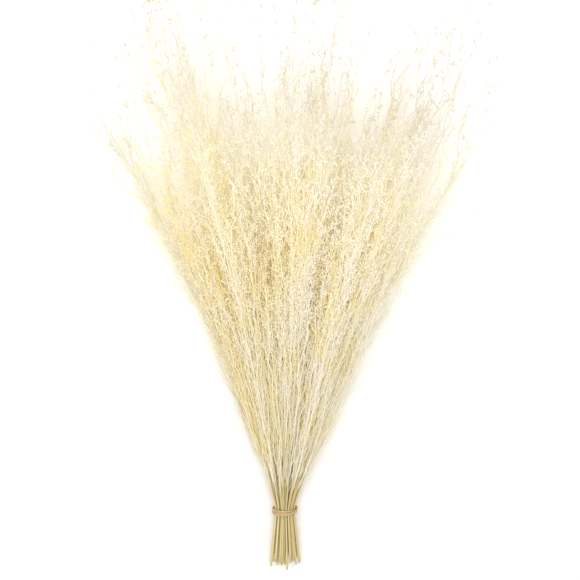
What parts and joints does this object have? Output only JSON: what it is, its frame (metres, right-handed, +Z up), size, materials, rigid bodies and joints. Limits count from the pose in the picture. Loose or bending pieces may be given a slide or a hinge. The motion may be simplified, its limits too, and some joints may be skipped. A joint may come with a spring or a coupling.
{
  "type": "bunch of dried statice",
  "caption": "Dried, bleached statice sprays gathered by a rubber band into a bunch that lies flat, bare stems fanning into fine feathery plumes.",
  "frame": {"origin": "on the surface that the bunch lies on, under the middle of its bounding box", "axes": "+Y along the bunch from the cut ends to the tips, +X across it, +Z up from the surface"},
  "size_m": [0.3856, 0.579, 0.1516],
  "materials": {
    "cream_spray": "dry bleached plant, matte, cream",
    "straw_spray": "dry bleached plant, matte, straw yellow",
    "ivory_spray": "dry bleached plant, matte, ivory",
    "rubber_band": "plain natural rubber, satin"
  },
  "bodies": {
    "root": {"spray_01": "cream_spray", "spray_02": "straw_spray", "spray_03": "ivory_spray", "spray_04": "cream_spray", "spray_05": "straw_spray", "spray_06": "ivory_spray", "spray_07": "cream_spray", "spray_08": "straw_spray", "spray_09": "ivory_spray", "spray_10": "cream_spray", "spray_11": "straw_spray", "spray_12": "ivory_spray", "spray_13": "cream_spray", "spray_14": "straw_spray", "spray_15": "ivory_spray", "spray_16": "cream_spray", "spray_17": "straw_spray", "spray_18": "ivory_spray", "spray_19": "cream_spray", "spray_20": "straw_spray", "spray_21": "ivory_spray", "spray_22": "cream_spray", "spray_23": "straw_spray", "spray_24": "ivory_spray", "spray_25": "cream_spray", "spray_26": "straw_spray", "spray_27": "ivory_spray", "spray_28": "cream_spray", "spray_29": "straw_spray", "spray_30": "ivory_spray", "spray_31": "cream_spray", "spray_32": "straw_spray", "spray_33": "ivory_spray", "spray_34": "cream_spray", "spray_35": "straw_spray", "spray_36": "ivory_spray", "spray_37": "cream_spray", "spray_38": "straw_spray", "spray_39": "ivory_spray", "spray_40": "cream_spray", "spray_41": "straw_spray", "spray_42": "ivory_spray", "spray_43": "cream_spray", "spray_44": "straw_spray", "spray_45": "ivory_spray", "spray_46": "cream_spray", "spray_47": "straw_spray", "spray_48": "ivory_spray", "rubber_band": "rubber_band"}
  },
  "joints": []
}
